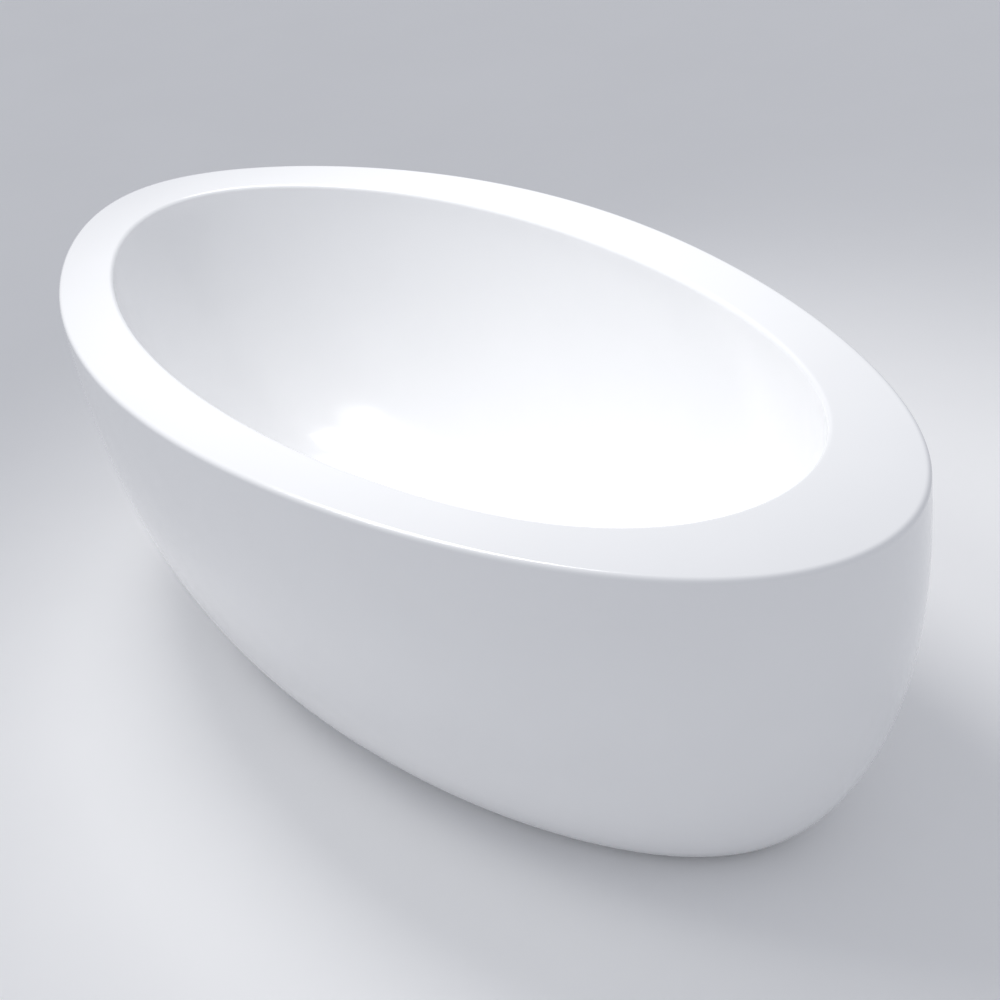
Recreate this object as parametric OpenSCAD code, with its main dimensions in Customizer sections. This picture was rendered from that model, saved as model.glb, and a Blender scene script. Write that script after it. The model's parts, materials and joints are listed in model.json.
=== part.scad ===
// Freestanding double-skin bathtub with a central waste, a side overflow and a levelling frame.
// +X runs towards the end with the wider deck, +Z is up, and the origin is on the floor below the middle
// of the rim. The basin and the skirt are thin shells bonded at the rim. The basin stands on a board and
// a welded frame with four screw feet, and the waste and overflow run in the space between the shells.

/* [Rim] */
// Length over the rim
tub_length = 1800; // [1760:5:1840]
// Width over the rim
tub_width = 880; // [860:5:900]
// Height of the rim above the floor
tub_height = 605; // [595:5:620]
// Radius of the rounded outer edge of the rim
rim_edge_r = 8; // [6:1:9]

/* [Basin] */
// Length of the opening inside the rim
opening_length = 1510; // [1480:5:1530]
// Width of the opening inside the rim
opening_width = 690; // [670:5:700]
// Distance that the opening sits towards -X, which makes the +X deck the wider one
opening_shift = 27; // [15:1:35]
// Height of the basin floor at the waste
basin_floor = 200; // [200:1:206]
// Rise of the basin floor from the waste to the foot of the walls
floor_fall = 2; // [1:0.5:3]
// Wall thickness of the basin shell
basin_wall = 6; // [5:0.5:7]

/* [Skirt] */
// Wall thickness of the skirt
skirt_wall = 6; // [5:0.5:7]
// Gap between the skirt and the floor
skirt_gap = 5; // [4:0.5:7]
// Width of the flat lip turned in at the skirt's foot
skirt_lip = 30; // [25:1:32]

/* [Frame] */
// Distance of each foot from the middle, along the tub
foot_x = 360; // [340:5:370]
// Distance of each foot from the middle, across the tub
foot_y = 155; // [145:1:158]
// Outside width of the square tubes
tube = 30; // [28:1:32]
// Wall thickness of the square tubes
tube_wall = 2; // [1.5:0.5:3]
// Thickness of the board between the basin and the frame
board_t = 15; // [12:1:15]
// Radius of the threaded foot studs
stud_r = 6; // [5:1:6]

/* [Waste] */
// Radius of the waste outlet pipe
outlet_r = 20; // [18:1:20]
// Radius of the overflow pipe
overflow_r = 16; // [14:1:16]
// Depth of the overflow's centre below the rim
overflow_drop = 75; // [70:5:85]
// Height of the overflow pipe's level run
run_z = 122; // [118:1:124]
// Lift of the stopper from shut to open
stopper_lift = 9.6; // [8:0.1:9.6]

/* [Hidden] */
$fn = 64;
SIDES = 96;          // points round each ring of a shell
FIT = 0.1;           // radial clearance of a pin or thread in its hole
GLUE = 0.1;          // thickness of the joint between the skirt and the basin's lip

// Shape of each outline: how its half width departs from an ellipse's along the tub, as the
// coefficients of cos, cos^2 and cos^3.
rim_form = [-0.064, -0.09, 0.092];
opening_form = [0.009, 0.014, 0.078];
foot_form = [0, -0.02, 0];
floor_form = [0, 0, 0];

// Each profile gives a shell's half length or half width at height t, from 0 at its foot to 1 at its top:
// [share at the foot, power of the upper curve, power of the curve into the foot].
skirt_end = [0.75, 2.3, 1.3];
skirt_side = [0.6, 2.2, 1.75];
basin_end = [0.56, 1.6, 1.6];
basin_side = [0.44, 1.6, 1.6];

half_length = tub_length / 2;
half_width = tub_width / 2;
seam_z = tub_height - rim_edge_r - 2;
deck_under = tub_height - basin_wall;
wall_top = tub_height - rim_edge_r;
floor_edge_z = basin_floor + floor_fall;
board_top = basin_floor - basin_wall;
rail_top = board_top - board_t;
rail_bottom = rail_top - tube;
leg_bottom = 58;
ring_t = 15;
ring_w = 30;
lip_top = skirt_gap + skirt_wall;
ring_top = lip_top + ring_t;
cross_x = [-foot_x, -170, 170, foot_x];
board_screw_x = [-430, -260, 260, 430];
waste_r = 24;        // thread of the waste flange
recess_r = 36;       // seat of the waste flange in the basin's floor
recess_depth = 3;
board_length = 920;
board_width = 350;
board_corner = 40;
board_hole_r = 55;   // clearance round the waste
rail_length = 960;
board_screw_r = 2.9;
bracket_screw_r = 2.4;
screw_gap = 0.1;     // radial clearance of a screw in its hole
leg_screw_z = 82;
bracket_reach = 32;  // from the leg's outer face to the screw in the skirt's ring
batten_h = 12;
batten_inset = 16;   // from the rim's edge, and from the opening's
ring_inset = 7;      // from the skirt's outline at its foot
insert_flange = 5;
nut_h = 8;
pad_top = 20;
stud_foot = 8;       // bottom of the stud in its pad
stud_length = 112;
stopper_z = basin_floor + 1.4 + stopper_lift;   // underside of the open stopper's cap
stem_r = 4;
overflow_hole_r = 24;
elbow_depth = 32;    // from the basin's wall back to the elbow's drop
// The wall curves in over the width of the cover, so the fitting stands this far in front of it
overflow_stand = 0.8;
overflow_t = 1 - (overflow_drop - rim_edge_r) / (wall_top - floor_edge_z);
overflow_at = basin_point(overflow_t, 270);
overflow_up = basin_point(overflow_t + 0.02, 270);
// Lean of the basin's wall from upright, at the overflow
overflow_lean = atan2(overflow_at[1] - overflow_up[1], overflow_up[2] - overflow_at[2]);
bend_arm = 34;
bend_stop = 19;      // from the bend's corner to the end of each pipe in it
bend_bore = overflow_r + FIT;
drop_start = overflow_at - (elbow_depth - overflow_stand) * [0, cos(overflow_lean), sin(overflow_lean)];
drop_length = (drop_start[2] - run_z) / cos(overflow_lean);
bend_y = drop_start[1] + drop_length * sin(overflow_lean);
tee_top = board_top - 4;
tee_bottom = 81;

// ---- outlines and surfaces ----

function mix(a, b, t) = a + (b - a) * t;

// A point of an egg-shaped outline at angle ang, with half length a, half width b and centre x0
function egg(a, b, x0, form, ang) =
    let (c = cos(ang))
    [x0 + a * c, b * sin(ang) * (1 + form[0] * c + form[1] * c * c + form[2] * c * c * c)];

function at_height(p, z) = [p[0], p[1], z];

function ring(a, b, x0, form, z) =
    [for (i = [0:SIDES - 1]) at_height(egg(a, b, x0, form, 360 * i / SIDES), z)];

function outline(a, b, x0, form) = [for (i = [0:SIDES - 1]) egg(a, b, x0, form, 360 * i / SIDES)];

function profile(p, t) = p[0] + (1 - p[0]) * pow(1 - pow(1 - t, p[1]), 1 / p[2]);

function skirt_point(t, ang) = at_height(
    egg(half_length * profile(skirt_end, t), half_width * profile(skirt_side, t), 0,
        mix(foot_form, rim_form, t), ang),
    mix(skirt_gap, seam_z - GLUE, t));

function basin_point(t, ang) = at_height(
    egg(opening_length / 2 * profile(basin_end, t), opening_width / 2 * profile(basin_side, t),
        -opening_shift * t, mix(floor_form, opening_form, t), ang),
    mix(floor_edge_z, wall_top, t));

function unit(v) = v / norm(v);

// The point moved by d along the surface's normal, outwards and down
function skirt_offset(t, ang, d) =
    let (p = skirt_point(t, ang), e = 0.0005, s = t > 0.5 ? -e : e)
    p + d * unit(cross(skirt_point(t, ang + 0.1) - p, (skirt_point(t + s, ang) - p) * sign(s)));

function basin_offset(t, ang, d) =
    let (p = basin_point(t, ang), e = 0.0005, s = t > 0.5 ? -e : e)
    p + d * unit(cross(basin_point(t, ang + 0.1) - p, (basin_point(t + s, ang) - p) * sign(s)));

// Rings at heights that crowd towards the foot, where the profiles turn sharply
function crowd(i, n) = pow(i / n, 1.7);

function skirt_rings(n, d) =
    [for (k = [0:n]) [for (i = [0:SIDES - 1])
        let (p = skirt_offset(crowd(k, n), 360 * i / SIDES, d)) at_height(p, min(p[2], seam_z - GLUE))]];

function basin_rings(n, d) =
    [for (k = [0:n]) [for (i = [0:SIDES - 1]) basin_offset(crowd(k, n), 360 * i / SIDES, d)]];

function reversed(list) = [for (i = [len(list) - 1:-1:0]) list[i]];

// A closed solid whose skin runs from ring to ring, outside downwards. A loop joins the last ring to the
// first, and otherwise both ends are capped.
module ring_solid(rings, loop) {
    n = len(rings[0]);
    m = len(rings);
    sides = [for (r = [0:(loop ? m - 1 : m - 2)], i = [0:n - 1])
        let (j = (i + 1) % n, next = (r + 1) % m)
        let (a = r * n + i, b = r * n + j, c = next * n + j, d = next * n + i)
        each [[a, b, c], [a, c, d]]];
    caps = loop ? [] : [[for (i = [n - 1:-1:0]) i], [for (i = [0:n - 1]) (m - 1) * n + i]];
    polyhedron(points = [for (r = rings) each r], faces = concat(sides, caps));
}

// ---- small shapes used more than once ----

module tube_along_x(length) {
    rotate([90, 0, 90]) translate([0, 0, -length / 2]) linear_extrude(length) tube_section();
}

module tube_section() {
    difference() {
        square(tube, center = true);
        square(tube - 2 * tube_wall, center = true);
    }
}

module sleeve(outer, inner, z0, z1) {
    translate([0, 0, z0]) difference() {
        cylinder(h = z1 - z0, r = outer);
        translate([0, 0, -1]) cylinder(h = z1 - z0 + 2, r = inner);
    }
}

module rounded_plate(length, width, r) {
    square([length - 2 * r, width], center = true);
    square([length, width - 2 * r], center = true);
    for (sx = [-1, 1], sy = [-1, 1])
        translate([sx * (length / 2 - r), sy * (width / 2 - r)]) circle(r = r);
}

// Union nut: ribbed body round a socket of radius grip, with a lip that closes on the pipe
module union_nut(body_r, grip, pipe_r, length, lip) {
    difference() {
        union() {
            cylinder(h = length, r = body_r);
            for (k = [0:11]) rotate([0, 0, 30 * k]) translate([body_r - 1.5, -2, 0]) cube([3, 4, length]);
        }
        translate([0, 0, -1]) cylinder(h = length - lip + 1, r = grip);
        translate([0, 0, -1]) cylinder(h = length + 2, r = pipe_r);
    }
}

module at_each_foot() {
    for (sx = [-1, 1], sy = [-1, 1]) translate([sx * foot_x, sy * foot_y, 0]) children();
}

// Feet are numbered from the -X end, near side first
function foot_place(n) = [n < 3 ? -foot_x : foot_x, n % 2 == 1 ? -foot_y : foot_y, 0];

// ---- shells ----

module basin_shell() {
    deck_out = [for (k = [0:4]) let (a = 90 - 22.5 * k, inset = rim_edge_r * (1 - cos(a)))
        ring(half_length - inset, half_width - inset, 0, rim_form, wall_top + rim_edge_r * sin(a))];
    deck_in = [for (k = [1:3]) let (a = 30 * k, grow = rim_edge_r * (1 - cos(a)))
        ring(opening_length / 2 + grow, opening_width / 2 + grow, -opening_shift, opening_form,
            wall_top + rim_edge_r * sin(a))];
    floor_in = ring(70, 56, 0, floor_form, basin_floor);
    floor_under = ring(70, 56, 0, floor_form, board_top);
    lip = [
        ring(half_length, half_width, 0, rim_form, seam_z),
        ring(half_length - basin_wall, half_width - basin_wall, 0, rim_form, seam_z),
        ring(half_length - basin_wall, half_width - basin_wall, 0, rim_form, deck_under)
    ];
    under = [ring(opening_length / 2 + basin_wall + 2, opening_width / 2 + basin_wall + 2,
        -opening_shift, opening_form, deck_under)];
    color("white") difference() {
        ring_solid(concat([floor_in], basin_rings(20, 0), deck_in, deck_out, lip, under,
            reversed(basin_rings(13, basin_wall)), [floor_under]), false);
        translate([0, 0, basin_floor - recess_depth]) cylinder(h = 10, r = recess_r);
        translate([0, 0, board_top - 10]) cylinder(h = 30, r = waste_r + 2);
        at_overflow() translate([0, 0, -30]) cylinder(h = 50, r = overflow_hole_r);
    }
}

module outer_skirt() {
    foot_a = half_length * skirt_end[0];
    foot_b = half_width * skirt_side[0];
    lip = [
        ring(foot_a - skirt_lip, foot_b - skirt_lip, 0, foot_form, skirt_gap),
        ring(foot_a - skirt_lip, foot_b - skirt_lip, 0, foot_form, lip_top)
    ];
    color("white") ring_solid(concat(reversed(skirt_rings(14, 0)), lip, skirt_rings(10, -skirt_wall)), true);
}

module rim_batten() {
    color("burlywood") translate([0, 0, deck_under - batten_h]) linear_extrude(batten_h) difference() {
        polygon(outline(half_length - batten_inset, half_width - batten_inset, 0, rim_form));
        polygon(outline(opening_length / 2 + batten_inset, opening_width / 2 + batten_inset,
            -opening_shift, opening_form));
    }
}

module skirt_ring() {
    a = half_length * skirt_end[0] - ring_inset;
    b = half_width * skirt_side[0] - ring_inset;
    color("burlywood") difference() {
        translate([0, 0, lip_top]) linear_extrude(ring_t) difference() {
            polygon(outline(a, b, 0, foot_form));
            polygon(outline(a - ring_w, b - ring_w, 0, foot_form));
        }
        bracket_screw_holes();
    }
}

// ---- board and frame ----

module base_board() {
    color("burlywood") difference() {
        translate([0, 0, rail_top]) linear_extrude(board_t)
            rounded_plate(board_length, board_width, board_corner);
        translate([0, 0, rail_top - 1]) cylinder(h = board_t + 2, r = board_hole_r);
        board_screw_holes(rail_top - 1, board_top - 3);
    }
}

module board_screw_holes(z0, z1) {
    for (x = board_screw_x, s = [-1, 1]) translate([x, s * foot_y, z0])
        cylinder(h = z1 - z0, r = board_screw_r + screw_gap);
}

module frame_rail(side) {
    color("silver") difference() {
        translate([0, side * foot_y, rail_bottom + tube / 2]) tube_along_x(rail_length);
        board_screw_holes(rail_bottom - 1, rail_top + 1);
    }
}

module cross_member(n) {
    length = 2 * foot_y - tube;
    color("silver") translate([cross_x[n - 1], 0, rail_bottom + tube / 2])
        rotate([0, 0, 90]) tube_along_x(length);
}

module frame_leg(n) {
    color("silver") difference() {
        translate(foot_place(n) + [0, 0, leg_bottom]) linear_extrude(rail_bottom - leg_bottom) tube_section();
        bracket_screw_holes();
    }
}

module leg_inserts() {
    color("gray") at_each_foot() difference() {
        union() {
            translate([-tube / 2, -tube / 2, leg_bottom - insert_flange]) cube([tube, tube, insert_flange]);
            translate([0, 0, leg_bottom - insert_flange]) cylinder(h = 21, r = 11);
        }
        translate([0, 0, leg_bottom - 6]) cylinder(h = 30, r = stud_r + FIT);
    }
}

module lock_nuts() {
    color("silver") at_each_foot() translate([0, 0, leg_bottom - insert_flange - nut_h]) difference() {
        cylinder(h = nut_h, r = 11, $fn = 6);
        translate([0, 0, -1]) cylinder(h = nut_h + 2, r = stud_r + FIT);
    }
}

module foot_stud(n) {
    color("silver") translate(foot_place(n)) {
        translate([0, 0, stud_foot]) cylinder(h = stud_length, r = stud_r);
        translate([0, 0, pad_top]) cylinder(h = nut_h, r = 9.8, $fn = 6);
    }
}

module foot_pad(n) {
    color("dimgray") translate(foot_place(n)) rotate_extrude()
        polygon([[0, 0], [24, 0], [25, 1], [25, 5], [24, 6], [14, 9], [12, 12], [12, pad_top],
            [stud_r + FIT, pad_top], [stud_r + FIT, stud_foot], [0, stud_foot]]);
}

module board_screws() {
    color("silver") for (x = board_screw_x, s = [-1, 1]) translate([x, s * foot_y, 0]) {
        translate([0, 0, rail_bottom - 3]) cylinder(h = 3, r = 6);
        translate([0, 0, rail_bottom - 1]) cylinder(h = tube + 12, r = board_screw_r);
    }
}

// Bent strip from the leg's outer face down to the top of the skirt's ring
module skirt_brackets() {
    y0 = foot_y + tube / 2;
    color("silver") for (sx = [-1, 1], sy = [-1, 1]) mirrored_foot(sx, sy) difference() {
        translate([12, 0, 0]) rotate([0, -90, 0]) linear_extrude(24) polygon([
            [100, y0], [100, y0 + 2], [62, y0 + 2], [62, y0 + 21], [ring_top + 2, y0 + 21],
            [ring_top + 2, y0 + 42], [ring_top, y0 + 42], [ring_top, y0 + 19], [60, y0 + 19], [60, y0]]);
        leg_screw_hole();
        ring_screw_hole();
    }
}

// Places children, which are drawn about the +Y foot line at x = 0, at the foot on that side
module mirrored_foot(sx, sy) {
    translate([sx * foot_x, 0, 0]) mirror([0, sy < 0 ? 1 : 0, 0]) children();
}

module leg_screw_hole() {
    translate([0, foot_y + tube / 2 + 8, leg_screw_z]) rotate([90, 0, 0])
        cylinder(h = 14, r = bracket_screw_r + screw_gap);
}

module ring_screw_hole() {
    translate([0, foot_y + tube / 2 + bracket_reach, lip_top + 1])
        cylinder(h = 25, r = bracket_screw_r + screw_gap);
}

module bracket_screw_holes() {
    for (sx = [-1, 1], sy = [-1, 1]) mirrored_foot(sx, sy) {
        leg_screw_hole();
        ring_screw_hole();
    }
}

module bracket_screws() {
    y0 = foot_y + tube / 2;
    color("silver") for (sx = [-1, 1], sy = [-1, 1]) mirrored_foot(sx, sy) {
        translate([0, y0 + 5, leg_screw_z]) rotate([90, 0, 0]) cylinder(h = 3, r = 4.5);
        translate([0, y0 + 3, leg_screw_z]) rotate([90, 0, 0]) cylinder(h = 8, r = bracket_screw_r);
        translate([0, y0 + bracket_reach, ring_top + 2]) cylinder(h = 3, r = 4.5);
        translate([0, y0 + bracket_reach, lip_top + 2]) cylinder(h = ring_t + 2, r = bracket_screw_r);
    }
}

// ---- waste ----

module waste_flange() {
    z = basin_floor;
    color("gainsboro") {
        rotate_extrude() polygon([[35, z - 2], [35, z], [33, z + 1.2], [29, z + 0.4], [25, z - 0.4],
            [20, z - 4], [19, z - 10], [19, z - 42], [waste_r, z - 42], [waste_r, z - 2]]);
        translate([0, 0, z - 40]) linear_extrude(8) difference() {
            union() {
                circle(r = 7);
                for (a = [0, 90]) rotate([0, 0, a]) square([42, 3], center = true);
            }
            circle(r = stem_r + FIT);
        }
    }
}

module waste_seal() {
    color("dimgray") sleeve(34, waste_r + 1, basin_floor - 3, basin_floor - 2);
}

module waste_gasket() {
    color("dimgray") sleeve(37, waste_r + FIT, tee_top, board_top);
}

module waste_tee() {
    color("whitesmoke") difference() {
        union() {
            translate([0, 0, tee_bottom]) cylinder(h = 12, r = 27);
            translate([0, 0, 93]) cylinder(h = tee_top - 93, r = 30);
            translate([0, 0, tee_top - 6]) cylinder(h = 6, r = 38);
            translate([0, 0, run_z]) rotate([90, 0, 0]) cylinder(h = 72, r = overflow_r + 4);
        }
        translate([0, 0, basin_floor - 48]) cylinder(h = 60, r = waste_r + FIT);
        translate([0, 0, tee_bottom - 1]) cylinder(h = 90, r = 18);
        translate([0, 0, run_z]) rotate([90, 0, 0]) cylinder(h = 80, r = overflow_r + 0.3);
    }
}

module stopper_cap() {
    z = stopper_z;
    color("gainsboro") rotate_extrude() polygon([[0, z], [30, z], [31, z + 0.8], [31, z + 2],
        [29, z + 3.4], [20, z + 4.6], [10, z + 5], [0, z + 5.1]]);
}

module stopper_seal() {
    z = stopper_z;
    bore = stem_r + FIT;
    color("dimgray") rotate_extrude()
        polygon([[bore, z - 4], [21.5, z - 4], [24.6, z - 1.8], [28.4, z - 1], [28.4, z], [bore, z]]);
}

module stopper_stem() {
    color("goldenrod") translate([0, 0, stopper_z - 30]) cylinder(h = 30, r = stem_r);
}

module stopper_cartridge() {
    z = basin_floor - 42;
    color("goldenrod") {
        translate([0, 0, z]) cylinder(h = 10, r = stem_r);
        translate([0, 0, z + 10]) difference() {
            cylinder(h = 22, r = 7);
            translate([0, 0, 3]) cylinder(h = 20, r = stem_r + FIT);
        }
    }
}

// Round wire wound between the cartridge and the stopper's seal
module stopper_spring() {
    wire = 0.6;
    coil = 5.6;
    turns = 4;
    z0 = basin_floor - 10 + wire;
    z1 = stopper_z - 4 - wire;
    steps = turns * 16;
    wire_sides = 8;
    rings = [for (k = [steps:-1:0]) let (a = 360 * k * turns / steps)
        [for (j = [0:wire_sides - 1]) let (w = 360 * j / wire_sides, r = coil + wire * cos(w))
            [r * cos(a), r * sin(a), mix(z0, z1, k / steps) + wire * sin(w)]]];
    color("silver") ring_solid(rings, false);
}

module tailpiece() {
    color("whitesmoke") rotate_extrude() polygon([
        [outlet_r - 2.5, 28], [outlet_r, 28], [outlet_r, 66], [outlet_r - 0.5, 66], [outlet_r - 0.5, 76],
        [25.5, 76], [25.5, 79], [outlet_r - 2.5, 79]]);
}

module tailpiece_washer() {
    color("dimgray") sleeve(25.5, outlet_r - 2, 79, tee_bottom);
}

module tailpiece_nut() {
    color("whitesmoke") translate([0, 0, 92]) mirror([0, 0, 1])
        union_nut(31, 27 + FIT, outlet_r + 0.2, 20, 4);
}

// ---- overflow ----

// Children are drawn about the overflow's axis: +Z points into the basin and +Y down the wall
module at_overflow() {
    translate([0, overflow_at[1], overflow_at[2]]) rotate([-(90 - overflow_lean), 0, 0])
        translate([0, 0, overflow_stand]) children();
}

module overflow_cover() {
    color("gainsboro") at_overflow() difference() {
        rotate_extrude() polygon([[0, 9], [0, 12.4], [20, 12.2], [30, 11.4], [33, 10], [34, 8], [34, 1.5],
            [31.5, 1.5], [31.5, 8], [30, 9]]);
        translate([0, 0, 8]) cylinder(h = 6, r = 3 + FIT);
        for (a = [-40:20:40]) rotate([0, 0, a]) translate([-3, 28, 3]) cube([6, 10, 4]);
    }
}

module overflow_screw() {
    color("gainsboro") at_overflow() {
        translate([0, 0, 12.4]) cylinder(h = 2.4, r = 5.5);
        translate([0, 0, -8]) cylinder(h = 21, r = 3);
    }
}

module overflow_flange() {
    color("gainsboro") at_overflow() difference() {
        union() {
            sleeve(30, 19, 0.6, 2.6);
            sleeve(22, 18, -24, 2.6);
            for (a = [0, 90]) rotate([0, 0, a]) translate([-19, -2, -6]) cube([38, 4, 5]);
            translate([0, 0, -8]) cylinder(h = 8, r = 6);
        }
        translate([0, 0, -9]) cylinder(h = 12, r = 3 + FIT);
    }
}

module overflow_seal() {
    color("dimgray") at_overflow() sleeve(34, 24.5, -10, -basin_wall - 0.8);
}

module overflow_elbow() {
    color("whitesmoke") at_overflow() difference() {
        union() {
            translate([0, 0, -13]) cylinder(h = 3, r = 36);
            translate([0, 0, -56]) cylinder(h = 45, r = 26);
            translate([0, 0, -elbow_depth]) rotate([-90, 0, 0]) cylinder(h = 58, r = overflow_r + 4);
        }
        translate([0, 0, -53]) cylinder(h = 60, r = 22 + FIT);
        translate([0, 0, -elbow_depth]) rotate([-90, 0, 0]) cylinder(h = 60, r = overflow_r + 0.3);
    }
}

// The pipe drops behind the basin from the elbow to a bend, and runs level from there to the tee
module pipe(length) {
    sleeve(overflow_r, overflow_r - 2, 0, length);
}

module overflow_pipe() {
    color("whitesmoke") at_overflow() translate([0, 36, -elbow_depth]) rotate([-90, 0, 0])
        pipe(drop_length - 36 - bend_stop);
}

module overflow_run() {
    color("whitesmoke") translate([0, bend_y + bend_stop, run_z]) rotate([-90, 0, 0])
        pipe(-bend_y - bend_stop - 40);
}

// The bend's level socket points towards the waste, and the one for the drop leans with the wall
module overflow_bend() {
    color("whitesmoke") translate([0, bend_y, run_z]) difference() {
        union() {
            sphere(r = overflow_r + 5);
            rotate([-90, 0, 0]) bend_arm_body(overflow_r + 4);
            rotate([overflow_lean, 0, 0]) bend_arm_body(overflow_r + 3.6);
        }
        rotate([-90, 0, 0]) bend_arm_bore(overflow_r - 2);
        rotate([overflow_lean, 0, 0]) bend_arm_bore(overflow_r - 2.4);
    }
}

module bend_arm_body(r) {
    cylinder(h = bend_arm, r = r);
    translate([0, 0, bend_arm - 5]) cylinder(h = 5, r = r + 2);
}

module bend_arm_bore(r) {
    cylinder(h = bend_arm, r = r);
    translate([0, 0, bend_stop]) cylinder(h = bend_arm, r = bend_bore);
}

module elbow_nut() {
    color("whitesmoke") at_overflow() translate([0, 42, -elbow_depth]) rotate([-90, 0, 0])
        union_nut(22.5, overflow_r + 4 + FIT, overflow_r + 0.2, 24, 4);
}

module elbow_washer() {
    color("dimgray") at_overflow() translate([0, 58, -elbow_depth]) rotate([-90, 0, 0])
        sleeve(overflow_r + 3.8, overflow_r + 0.05, 0, 4);
}

module tee_nut() {
    color("whitesmoke") translate([0, -56, run_z]) rotate([90, 0, 0])
        union_nut(22.5, overflow_r + 4 + FIT, overflow_r + 0.2, 24, 4);
}

module tee_washer() {
    color("dimgray") translate([0, -72, run_z]) rotate([90, 0, 0])
        sleeve(overflow_r + 3.8, overflow_r + 0.05, 0, 4);
}

basin_shell();
outer_skirt();
rim_batten();
skirt_ring();
base_board();
frame_rail(-1);  // frame_rail_near
frame_rail(1);  // frame_rail_far
cross_member(1);  // cross_member_1
cross_member(2);  // cross_member_2
cross_member(3);  // cross_member_3
cross_member(4);  // cross_member_4
frame_leg(1);  // frame_leg_1
frame_leg(2);  // frame_leg_2
frame_leg(3);  // frame_leg_3
frame_leg(4);  // frame_leg_4
foot_stud(1);  // foot_stud_1
foot_stud(2);  // foot_stud_2
foot_stud(3);  // foot_stud_3
foot_stud(4);  // foot_stud_4
foot_pad(1);  // foot_pad_1
foot_pad(2);  // foot_pad_2
foot_pad(3);  // foot_pad_3
foot_pad(4);  // foot_pad_4
leg_inserts();
lock_nuts();
board_screws();
skirt_brackets();
bracket_screws();
waste_flange();
waste_seal();
waste_gasket();
waste_tee();
stopper_cap();
stopper_seal();
stopper_stem();
stopper_cartridge();
stopper_spring();
tailpiece();
tailpiece_washer();
tailpiece_nut();
overflow_cover();
overflow_screw();
overflow_flange();
overflow_seal();
overflow_elbow();
overflow_pipe();
overflow_bend();
overflow_run();
elbow_nut();
elbow_washer();
tee_nut();
tee_washer();
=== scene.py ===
"""A white freestanding bathtub: smooth acrylic shells, chrome waste and overflow, and a levelling frame."""
import json
import math
import bpy
from mathutils import Matrix, Vector


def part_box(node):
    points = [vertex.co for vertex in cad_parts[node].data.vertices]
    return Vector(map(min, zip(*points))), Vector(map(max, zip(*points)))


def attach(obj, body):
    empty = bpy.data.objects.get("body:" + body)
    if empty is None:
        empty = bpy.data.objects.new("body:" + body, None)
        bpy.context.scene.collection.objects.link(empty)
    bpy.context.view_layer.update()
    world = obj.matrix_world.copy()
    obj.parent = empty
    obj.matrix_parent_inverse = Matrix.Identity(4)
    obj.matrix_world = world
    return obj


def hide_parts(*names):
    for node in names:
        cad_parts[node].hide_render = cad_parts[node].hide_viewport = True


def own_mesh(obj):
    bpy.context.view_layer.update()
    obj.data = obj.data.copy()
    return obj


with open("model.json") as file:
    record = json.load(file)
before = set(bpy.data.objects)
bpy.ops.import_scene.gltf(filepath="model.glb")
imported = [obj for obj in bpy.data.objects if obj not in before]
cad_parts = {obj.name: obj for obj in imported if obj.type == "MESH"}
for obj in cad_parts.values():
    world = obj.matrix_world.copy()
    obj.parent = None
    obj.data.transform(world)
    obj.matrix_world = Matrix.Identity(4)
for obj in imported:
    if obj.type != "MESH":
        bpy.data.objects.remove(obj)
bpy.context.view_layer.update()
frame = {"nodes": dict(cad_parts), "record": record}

# ---- sizes, in metres, from the CAD bodies' boxes ----

SHELL_LOW, SHELL_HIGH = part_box("basin_shell")
SKIRT_LOW, SKIRT_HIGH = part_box("outer_skirt")
RIM_Z = SHELL_HIGH.z            # top of the deck
SEAM_Z = SKIRT_HIGH.z           # where the skirt meets the basin's lip
SKIRT_Z = SKIRT_LOW.z           # the skirt's foot
UNDER_Z = SHELL_LOW.z           # underside of the basin floor
HALF_LENGTH = SHELL_HIGH.x
HALF_WIDTH = 0.44               # nominal, before the egg shape widens it
EDGE_R = 0.008                  # rounding of the deck's two edges
EDGE_GAP = 0.002                # the flat rows keep this clear of the edges
WALL = 0.006
FLOOR_Z = UNDER_Z + WALL
FLOOR_FALL = 0.002              # the basin floor rises this much from the drain to its edge
FLOOR_EDGE_Z = FLOOR_Z + FLOOR_FALL
WALL_TOP = RIM_Z - EDGE_R
OPENING = (0.755, 0.345, -0.027)    # half length, half width, and its middle's place along X
SKIRT_LIP = 0.030               # the skirt's foot turns in this far
DRAIN_R = 0.026
RECESS_R = 0.036                # the drain flange's seat
RECESS_Z = UNDER_Z + 0.003
UNDERSIDE_RING = (0.07, 0.056)  # a row round the drain, on the floor's underside
OVERFLOW_R = 0.024
OVERFLOW_CUT = (-0.02, 0.03)    # reach of the overflow's cutter, below and above the wall

# The same outline and profile laws as the CAD
RIM_FORM = (-0.064, -0.09, 0.092)
OPENING_FORM = (0.009, 0.014, 0.078)
FOOT_FORM = (0.0, -0.02, 0.0)
ROUND = (0.0, 0.0, 0.0)
SKIRT_END = (0.75, 2.3, 1.3)
SKIRT_SIDE = (0.6, 2.2, 1.75)
BASIN_END = (0.56, 1.6, 1.6)
BASIN_SIDE = (0.44, 1.6, 1.6)

# Rows of faces, and faces in a row
SIDES = 288
BASIN_ROWS = 56
SKIRT_ROWS = 60
FLOOR_ROWS = 10
DECK_ROWS = 6
EDGE_ROWS = 8
CUTTER_SIDES = 64
SHARP = 35                      # degrees
STEP_T = 0.0005                 # steps that a surface's normal is found with
STEP_ANG = 0.002

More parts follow.
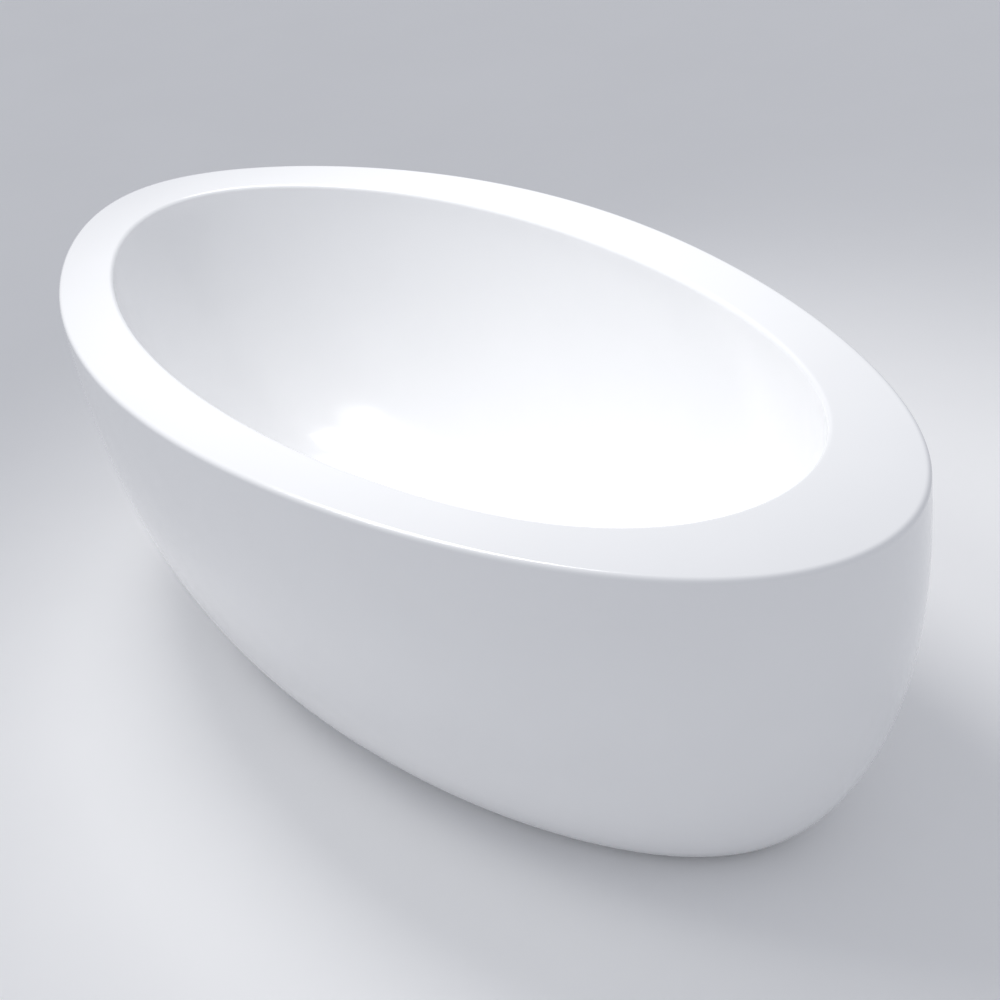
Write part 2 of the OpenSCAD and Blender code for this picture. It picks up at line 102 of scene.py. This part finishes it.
# Levelling studs
STUD_R = 0.006
STUD_PITCH = 0.00175
THREAD_DEPTH = 0.0007
THREAD_ROWS = 6                 # per turn
STUD_SIDES = 48
STUD_CHAMFER = 0.0008
STUD_HEX = (0.012, 0.020)       # heights of the hexagon's two faces above the stud's foot
STUD_HEX_R = 0.0098             # to its corners
STUD_NECK = 0.002               # plain length above the hexagon
THREAD_START = 0.003            # above the hexagon
THREAD_END = 0.002              # below the stud's tip
STUD_LEAD = 0.001               # the tip's chamfer
TIP_R = 0.0001                  # the end caps close on a circle this small

# Stopper spring
WIRE_R = 0.0006
SPRING_TURNS = 4
SPRING_STEPS = 32               # per turn
WIRE_SIDES = 12


# ---- outlines ----

def mix(a, b, t):
    return a + (b - a) * t


def egg(a, b, x0, form, ang):
    c = math.cos(ang)
    swell = 1 + form[0] * c + form[1] * c * c + form[2] * c ** 3
    return Vector((x0 + a * c, b * math.sin(ang) * swell, 0))


def profile(p, t):
    """How wide a shell is at t of its height, as a part of its width at the top."""
    return p[0] + (1 - p[0]) * max(0.0, 1 - (1 - t) ** p[1]) ** (1 / p[2])


def angles(count=SIDES):
    return [2 * math.pi * i / count for i in range(count)]


def ring(a, b, x0, form, z):
    return [egg(a, b, x0, form, ang) + Vector((0, 0, z)) for ang in angles()]


def skirt_point(t, ang):
    form = [mix(f, r, t) for f, r in zip(FOOT_FORM, RIM_FORM)]
    a, b = HALF_LENGTH * profile(SKIRT_END, t), HALF_WIDTH * profile(SKIRT_SIDE, t)
    p = egg(a, b, 0, form, ang)
    return Vector((p.x, p.y, mix(SKIRT_Z, SEAM_Z, t)))


def basin_point(t, ang):
    form = [f * t for f in OPENING_FORM]
    a, b = OPENING[0] * profile(BASIN_END, t), OPENING[1] * profile(BASIN_SIDE, t)
    p = egg(a, b, OPENING[2] * t, form, ang)
    return Vector((p.x, p.y, mix(FLOOR_EDGE_Z, WALL_TOP, t)))


def moved_out(point, t, ang, distance):
    """A surface point moved along the surface's outward normal."""
    if distance == 0:
        return point(t, ang)
    step = STEP_T if t <= 0.5 else -STEP_T
    here = point(t, ang)
    along = point(t, ang + STEP_ANG) - here
    up = (point(t + step, ang) - here) * (1 if step > 0 else -1)
    return here + along.cross(up).normalized() * distance


def surface_rings(point, count, distance):
    """Rings from a shell's foot to its top, crowded where the profile turns sharply."""
    heights = [(k / count) ** 2 for k in range(count + 1)]
    return [[moved_out(point, t, ang, distance) for ang in angles()] for t in heights]


def between(first, last, count):
    """Rings that run evenly between two rings, without the two themselves."""
    return [[a.lerp(b, k / (count + 1)) for a, b in zip(first, last)] for k in range(1, count + 1)]


# ---- meshes ----

def signed_volume(mesh):
    """Six times the volume inside; negative when the faces look inwards."""
    mesh.calc_loop_triangles()
    at = [v.co for v in mesh.vertices]
    corners = [t.vertices for t in mesh.loop_triangles]
    return sum(at[a].dot(at[b].cross(at[c])) for a, b, c in corners)


def skin(name, rings, loop=False, sharp=SHARP):
    """A closed mesh through rings of equal length; its ends are capped unless the last joins the first."""
    n = len(rings[0])
    verts = [v for r in rings for v in r]
    spans = [(k, (k + 1) % len(rings)) for k in range(len(rings) if loop else len(rings) - 1)]
    faces = [(a * n + i, a * n + (i + 1) % n, b * n + (i + 1) % n, b * n + i)
             for a, b in spans for i in range(n)]
    if not loop:
        faces += [tuple(range(n - 1, -1, -1)), tuple(range((len(rings) - 1) * n, len(rings) * n))]
    mesh = bpy.data.meshes.new(name)
    mesh.from_pydata(verts, [], faces)
    if signed_volume(mesh) < 0:
        mesh.flip_normals()
    mesh.polygons.foreach_set("use_smooth", [True] * len(mesh.polygons))
    mesh.set_sharp_from_angle(angle=math.radians(sharp))
    mesh.validate()
    obj = bpy.data.objects.new(name, mesh)
    bpy.context.scene.collection.objects.link(obj)
    return obj


def fit_to_box(obj, high):
    """Trims the finer mesh's width to the CAD body's, which its facets make a hair narrower."""
    reach = max(abs(v.co.y) for v in obj.data.vertices)
    obj.data.transform(Matrix.Diagonal((1, min(1, high.y / reach), 1, 1)))
    return obj


def arc(count, first, last):
    return [math.radians(mix(first, last, k / count)) for k in range(count + 1)]


def opening_ring(outset, z):
    a, b, x0 = OPENING
    return ring(a + outset, b + outset, x0, OPENING_FORM, z)


def rim_ring(inset, z):
    return ring(HALF_LENGTH - inset, HALF_WIDTH - inset, 0, RIM_FORM, z)


def round_ring(radius, z):
    return ring(radius, radius, 0, ROUND, z)


def deck_rings():
    """From the top of the basin's wall, over the deck, and down the outside to the seam."""
    inner = []
    for g in arc(EDGE_ROWS, 0, 90)[1:]:
        inner.append(opening_ring(EDGE_R * (1 - math.cos(g)), WALL_TOP + EDGE_R * math.sin(g)))
    outer = []
    for g in arc(EDGE_ROWS, 90, 0):
        outer.append(rim_ring(EDGE_R * (1 - math.cos(g)), WALL_TOP + EDGE_R * math.sin(g)))
    near_inner = opening_ring(EDGE_R + EDGE_GAP, RIM_Z)
    near_outer = rim_ring(EDGE_R + EDGE_GAP, RIM_Z)
    flat = [near_inner] + between(near_inner, near_outer, DECK_ROWS) + [near_outer]
    return inner + flat + outer


def build_basin_shell():
    """Rings from the drain up the inside, over the deck, and back down the shell's hidden side."""
    floor = [round_ring(DRAIN_R, RECESS_Z), round_ring(RECESS_R, RECESS_Z), round_ring(RECESS_R, FLOOR_Z)]
    wall = surface_rings(basin_point, BASIN_ROWS, 0)
    floor += between(floor[-1], wall[0], FLOOR_ROWS)
    lip = [rim_ring(0, SEAM_Z), rim_ring(WALL, SEAM_Z), rim_ring(WALL, RIM_Z - WALL)]
    under_deck = [opening_ring(WALL + EDGE_GAP, RIM_Z - WALL)]
    back = surface_rings(basin_point, BASIN_ROWS // 2, WALL)[::-1]
    underside = [ring(*UNDERSIDE_RING, 0, ROUND, UNDER_Z), round_ring(DRAIN_R, UNDER_Z)]
    rings = floor + wall + deck_rings() + lip + under_deck + back + underside
    shell = skin("basin_shell_skin", rings, loop=True)
    fit_to_box(shell, SHELL_HIGH)
    cut_overflow_hole(shell)
    return shell


def cut_overflow_hole(shell):
    """The hole lies where the overflow's seal is, square to its cover."""
    low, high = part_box("overflow_seal")
    cover_low, cover_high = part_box("overflow_cover")
    centre = (low + high) / 2
    out = ((cover_low + cover_high) / 2 - centre).normalized()
    turn = out.to_track_quat("Z", "Y").to_matrix().to_4x4()
    place = Matrix.Translation(centre) @ turn
    rows = [[place @ Vector((OVERFLOW_R * math.cos(g), OVERFLOW_R * math.sin(g), z))
             for g in angles(CUTTER_SIDES)] for z in OVERFLOW_CUT]
    cutter = skin("overflow_cutter", rows)
    cut = shell.modifiers.new("overflow_hole", "BOOLEAN")
    cut.object = cutter
    cut.solver = "EXACT"
    bpy.context.view_layer.update()
    result = bpy.data.meshes.new_from_object(shell.evaluated_get(bpy.context.evaluated_depsgraph_get()))
    shell.modifiers.clear()
    shell.data = result
    result.set_sharp_from_angle(angle=math.radians(SHARP))
    bpy.data.objects.remove(cutter)


def build_outer_skirt():
    foot_a = HALF_LENGTH * SKIRT_END[0] - SKIRT_LIP
    foot_b = HALF_WIDTH * SKIRT_SIDE[0] - SKIRT_LIP
    outside = surface_rings(skirt_point, SKIRT_ROWS, 0)[::-1]
    lip = [ring(foot_a, foot_b, 0, FOOT_FORM, z) for z in (SKIRT_Z, SKIRT_Z + WALL)]
    inside = surface_rings(skirt_point, SKIRT_ROWS // 2, -WALL)
    skirt = skin("outer_skirt_skin", outside + lip + inside, loop=True)
    return fit_to_box(skirt, SKIRT_HIGH)


def stud_row(x, y, z, radius):
    """A row at height z, radius being a function of the angle."""
    return [Vector((x + radius(g) * math.cos(g), y + radius(g) * math.sin(g), z)) for g in angles(STUD_SIDES)]


def plain(radius):
    return lambda g: radius


def hexagon(apothem):
    side = math.pi / 3
    return lambda g: apothem / math.cos((g % side) - side / 2)


def thread(z):
    """The radius round the thread at height z: one crest and one root in each turn."""
    turn = z / STUD_PITCH
    return lambda g: STUD_R - THREAD_DEPTH * abs(2 * ((turn - g / (2 * math.pi)) % 1) - 1)


def build_stud(number):
    """A levelling stud with its thread cut all the way round and its hexagon above the pad."""
    low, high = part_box(f"foot_stud_{number}")
    x, y = (low.x + high.x) / 2, (low.y + high.y) / 2
    hex_low, hex_high = low.z + STUD_HEX[0], low.z + STUD_HEX[1]
    shank, core = plain(STUD_R), STUD_R - THREAD_DEPTH
    flats = hexagon(STUD_HEX_R * math.cos(math.pi / 6))
    rows = [(low.z, plain(TIP_R)), (low.z, plain(STUD_R - STUD_CHAMFER)), (low.z + STUD_CHAMFER, shank),
            (hex_low, shank), (hex_low, flats), (hex_high, flats), (hex_high, shank),
            (hex_high + STUD_NECK, shank)]
    z = hex_high + THREAD_START
    while z < high.z - THREAD_END:
        rows.append((z, thread(z)))
        z += STUD_PITCH / THREAD_ROWS
    rows += [(high.z - STUD_LEAD, plain(core)), (high.z, plain(core - STUD_LEAD)), (high.z, plain(TIP_R))]
    rings = [stud_row(x, y, row_z, radius) for row_z, radius in rows]
    return skin(f"foot_stud_{number}_threaded", rings, sharp=40)


def build_spring():
    """The stopper's coil, from the cartridge up to the seal."""
    low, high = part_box("stopper_spring")
    coil = (high.x - low.x) / 2 - WIRE_R
    bottom, top = low.z + WIRE_R, high.z - WIRE_R
    steps = SPRING_TURNS * SPRING_STEPS
    rows = []
    for k in range(steps + 1):
        ang = 2 * math.pi * SPRING_TURNS * k / steps
        centre_z = mix(bottom, top, k / steps)
        row = []
        for g in angles(WIRE_SIDES):
            reach, z = coil + WIRE_R * math.cos(g), centre_z + WIRE_R * math.sin(g)
            row.append(Vector((reach * math.cos(ang), reach * math.sin(ang), z)))
        rows.append(row)
    return skin("stopper_spring_coil", rows[::-1])


# ---- materials ----

def new_material(name, colour, roughness, metallic=0.0, ior=1.5, coat=0.0, coat_roughness=0.05):
    mat = bpy.data.materials.new(name)
    mat.use_nodes = True
    sockets = mat.node_tree.nodes["Principled BSDF"].inputs
    sockets["Base Color"].default_value = (*colour, 1)
    sockets["Roughness"].default_value = roughness
    sockets["Metallic"].default_value = metallic
    sockets["IOR"].default_value = ior
    sockets["Coat Weight"].default_value = coat
    sockets["Coat Roughness"].default_value = coat_roughness
    return mat


MIDDLE = (0.3, 0.7)             # the part of a noise field's range that the blends use


def noise(mat, scale, detail, stretch=(1, 1, 1)):
    """A noise field over the object's own coordinates, scale being features per metre."""
    tree = mat.node_tree
    coords = tree.nodes.new("ShaderNodeTexCoord")
    mapping = tree.nodes.new("ShaderNodeMapping")
    mapping.inputs["Scale"].default_value = stretch
    field = tree.nodes.new("ShaderNodeTexNoise")
    field.inputs["Scale"].default_value = scale
    field.inputs["Detail"].default_value = detail
    tree.links.new(coords.outputs["Object"], mapping.inputs["Vector"])
    tree.links.new(mapping.outputs["Vector"], field.inputs["Vector"])
    return field.outputs["Fac"]


def spread(mat, field, low, high):
    """The middle of the noise field's range, stretched to run from low to high."""
    node = mat.node_tree.nodes.new("ShaderNodeMapRange")
    node.inputs["From Min"].default_value = MIDDLE[0]
    node.inputs["From Max"].default_value = MIDDLE[1]
    node.inputs["To Min"].default_value = low
    node.inputs["To Max"].default_value = high
    mat.node_tree.links.new(field, node.inputs["Value"])
    return node.outputs["Result"]


def tint(mat, field, dark, light):
    """The base colour runs from dark to light with the field."""
    tree = mat.node_tree
    blend = tree.nodes.new("ShaderNodeMix")
    blend.data_type = "RGBA"
    blend.inputs["A"].default_value = (*dark, 1)
    blend.inputs["B"].default_value = (*light, 1)
    tree.links.new(spread(mat, field, 0, 1), blend.inputs["Factor"])
    tree.links.new(blend.outputs["Result"], tree.nodes["Principled BSDF"].inputs["Base Color"])


def vary_gloss(mat, field, low, high):
    tree = mat.node_tree
    tree.links.new(spread(mat, field, low, high), tree.nodes["Principled BSDF"].inputs["Roughness"])


def relief(mat, field, distance, strength):
    """Adds a bump, on top of any that is there already."""
    tree = mat.node_tree
    normal = tree.nodes["Principled BSDF"].inputs["Normal"]
    bump = tree.nodes.new("ShaderNodeBump")
    bump.inputs["Distance"].default_value = distance
    bump.inputs["Strength"].default_value = strength
    tree.links.new(field, bump.inputs["Height"])
    if normal.links:
        tree.links.new(normal.links[0].from_socket, bump.inputs["Normal"])
    tree.links.new(bump.outputs["Normal"], normal)


def acrylic():
    mat = new_material("acrylic", (0.90, 0.90, 0.91), 0.16, ior=1.49, coat=0.3, coat_roughness=0.09)
    tint(mat, noise(mat, 5, 3), (0.890, 0.893, 0.899), (0.905, 0.908, 0.914))
    vary_gloss(mat, noise(mat, 9, 4), 0.15, 0.22)
    relief(mat, noise(mat, 4, 1), 0.0006, 0.35)
    relief(mat, noise(mat, 260, 2), 0.00002, 0.5)
    return mat


def plywood():
    mat = new_material("plywood", (0.62, 0.47, 0.31), 0.6)
    tint(mat, noise(mat, 40, 6, (0.12, 1.6, 1.0)), (0.46, 0.31, 0.18), (0.70, 0.54, 0.36))
    vary_gloss(mat, noise(mat, 30, 3), 0.5, 0.75)
    relief(mat, noise(mat, 220, 4, (0.06, 1.0, 1.0)), 0.0003, 0.6)
    return mat


def powder_coat():
    mat = new_material("powder_coat", (0.50, 0.51, 0.52), 0.45)
    tint(mat, noise(mat, 12, 4), (0.44, 0.45, 0.46), (0.53, 0.54, 0.55))
    vary_gloss(mat, noise(mat, 60, 2), 0.38, 0.55)
    relief(mat, noise(mat, 900, 2), 0.00008, 0.6)
    return mat


def zinc():
    mat = new_material("zinc_plate", (0.68, 0.69, 0.70), 0.3, metallic=1.0)
    tint(mat, noise(mat, 90, 4), (0.55, 0.57, 0.60), (0.74, 0.74, 0.73))
    vary_gloss(mat, noise(mat, 400, 2), 0.25, 0.42)
    relief(mat, noise(mat, 1500, 2), 0.00003, 0.5)
    return mat


def chrome():
    mat = new_material("polished_chrome", (0.80, 0.81, 0.82), 0.06, metallic=1.0)
    tint(mat, noise(mat, 60, 3), (0.76, 0.77, 0.79), (0.84, 0.85, 0.86))
    vary_gloss(mat, noise(mat, 220, 4), 0.04, 0.12)
    relief(mat, noise(mat, 45, 1), 0.00003, 0.4)
    return mat


def brass():
    mat = new_material("machined_brass", (0.71, 0.55, 0.28), 0.3, metallic=1.0)
    tint(mat, noise(mat, 150, 4), (0.60, 0.44, 0.20), (0.78, 0.62, 0.34))
    vary_gloss(mat, noise(mat, 500, 2, (1, 1, 8)), 0.22, 0.40)
    relief(mat, noise(mat, 900, 1, (0.2, 0.2, 6)), 0.00003, 0.6)
    return mat


def spring_wire():
    mat = new_material("spring_wire", (0.62, 0.62, 0.63), 0.25, metallic=1.0)
    tint(mat, noise(mat, 700, 3), (0.52, 0.52, 0.54), (0.70, 0.70, 0.71))
    vary_gloss(mat, noise(mat, 1200, 2), 0.2, 0.35)
    return mat


def rubber():
    mat = new_material("seal_rubber", (0.03, 0.03, 0.032), 0.7)
    tint(mat, noise(mat, 120, 4), (0.022, 0.022, 0.024), (0.045, 0.045, 0.047))
    vary_gloss(mat, noise(mat, 300, 3), 0.6, 0.85)
    relief(mat, noise(mat, 1500, 2), 0.00005, 0.6)
    return mat


def nylon():
    mat = new_material("moulded_nylon", (0.05, 0.05, 0.055), 0.5)
    tint(mat, noise(mat, 80, 4), (0.035, 0.035, 0.04), (0.065, 0.065, 0.07))
    vary_gloss(mat, noise(mat, 500, 3), 0.42, 0.62)
    relief(mat, noise(mat, 1100, 3), 0.00008, 0.7)
    return mat


def pipe_plastic():
    mat = new_material("pipe_plastic", (0.82, 0.82, 0.80), 0.3, ior=1.49)
    tint(mat, noise(mat, 25, 4), (0.76, 0.76, 0.735), (0.85, 0.85, 0.83))
    vary_gloss(mat, noise(mat, 200, 3), 0.24, 0.4)
    relief(mat, noise(mat, 600, 2), 0.00004, 0.5)
    return mat


def floor_paint():
    mat = new_material("pale_floor", (0.9, 0.9, 0.9), 0.6)
    tint(mat, noise(mat, 2, 4), (0.90, 0.90, 0.90), (0.92, 0.92, 0.92))
    return mat


def material_for_slots():
    return {"acrylic": acrylic(), "plywood": plywood(), "frame_steel": powder_coat(), "zinc_hardware": zinc(),
            "foot_plastic": nylon(), "chrome": chrome(), "brass": brass(), "spring_steel": spring_wire(),
            "black_rubber": rubber(), "white_plastic": pipe_plastic()}


def dress(obj, mat):
    obj.data.materials.clear()
    obj.data.materials.append(mat)


def stand_in(piece, node, body, slot, materials):
    """piece takes the place of a CAD node, on its body and in its slot."""
    dress(piece, materials[slot])
    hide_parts(node)
    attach(piece, body)
    return piece


# ---- surroundings ----

def area_light(name, place, target, power, spread_angle, colour):
    """A soft light of one metre by one metre."""
    data = bpy.data.lights.new(name, "AREA")
    data.shape = "RECTANGLE"
    data.size, data.size_y, data.energy, data.color = 1.0, 1.0, power, colour
    data.spread = math.radians(spread_angle)
    lamp = bpy.data.objects.new(name, data)
    bpy.context.scene.collection.objects.link(lamp)
    lamp.location = place
    lamp.rotation_mode = "QUATERNION"
    lamp.rotation_quaternion = (Vector(target) - Vector(place)).to_track_quat("-Z", "Y")


def build_floor():
    half, thickness = 9.0, 0.02
    corners = ((-half, -half), (half, -half), (half, half), (-half, half))
    rows = [[Vector((x, y, z)) for x, y in corners] for z in (-thickness, 0.0)]
    floor = skin("floor", rows)
    dress(floor, floor_paint())


def light_world(strength, colour):
    world = bpy.data.worlds.new("soft_studio")
    world.use_nodes = True
    back = world.node_tree.nodes["Background"]
    back.inputs["Color"].default_value = (*colour, 1)
    back.inputs["Strength"].default_value = strength
    bpy.context.scene.world = world


def set_camera():
    """The photograph's viewpoint: place in metres, angles in radians, focal length in picture widths."""
    place = Vector((2.1752, -1.4037, 1.8868))
    heading, down_tilt, roll, focal = 2.5439, 0.5550, -0.1554, 1.9133
    forward = Vector((math.cos(heading) * math.cos(down_tilt), math.sin(heading) * math.cos(down_tilt),
                      -math.sin(down_tilt)))
    right = Vector((math.sin(heading), -math.cos(heading), 0))
    down = forward.cross(right)
    image_right = math.cos(roll) * right - math.sin(roll) * down
    image_down = math.sin(roll) * right + math.cos(roll) * down
    axes = Matrix((image_right, -image_down, -forward)).transposed()
    data = bpy.data.cameras.new("camera")
    data.sensor_width = 36
    data.lens = focal * data.sensor_width
    camera = bpy.data.objects.new("camera", data)
    bpy.context.scene.collection.objects.link(camera)
    camera.matrix_world = Matrix.Translation(place) @ axes.to_4x4()
    bpy.context.scene.camera = camera


# ---- the scene ----

set_camera()
bpy.context.scene.view_settings.view_transform = "Standard"
MATERIALS = material_for_slots()
for part in frame["record"]["subparts"]:
    dress(frame["nodes"][part["node"]], MATERIALS[part["material_slot"]])

stand_in(build_basin_shell(), "basin_shell", "tub", "acrylic", MATERIALS)
stand_in(build_outer_skirt(), "outer_skirt", "tub", "acrylic", MATERIALS)
for number in range(1, 5):
    stand_in(build_stud(number), f"foot_stud_{number}", f"stud_{number}", "zinc_hardware", MATERIALS)
coil = stand_in(build_spring(), "stopper_spring", "tub", "spring_steel", MATERIALS)
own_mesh(coil)

build_floor()
light_world(0.607, (0.903, 0.926, 1.0))
area_light("overhead_softbox", place=(-1.3, 0.15, 2.9), target=(0.2, 0.1, 0.2), power=5.5, spread_angle=60,
           colour=(1.0, 0.99, 0.98))
area_light("side_softbox", place=(-1.0, -1.0, 2.7), target=(0.3, 0.3, 0.35), power=2.2, spread_angle=55,
           colour=(1.0, 1.0, 0.98))
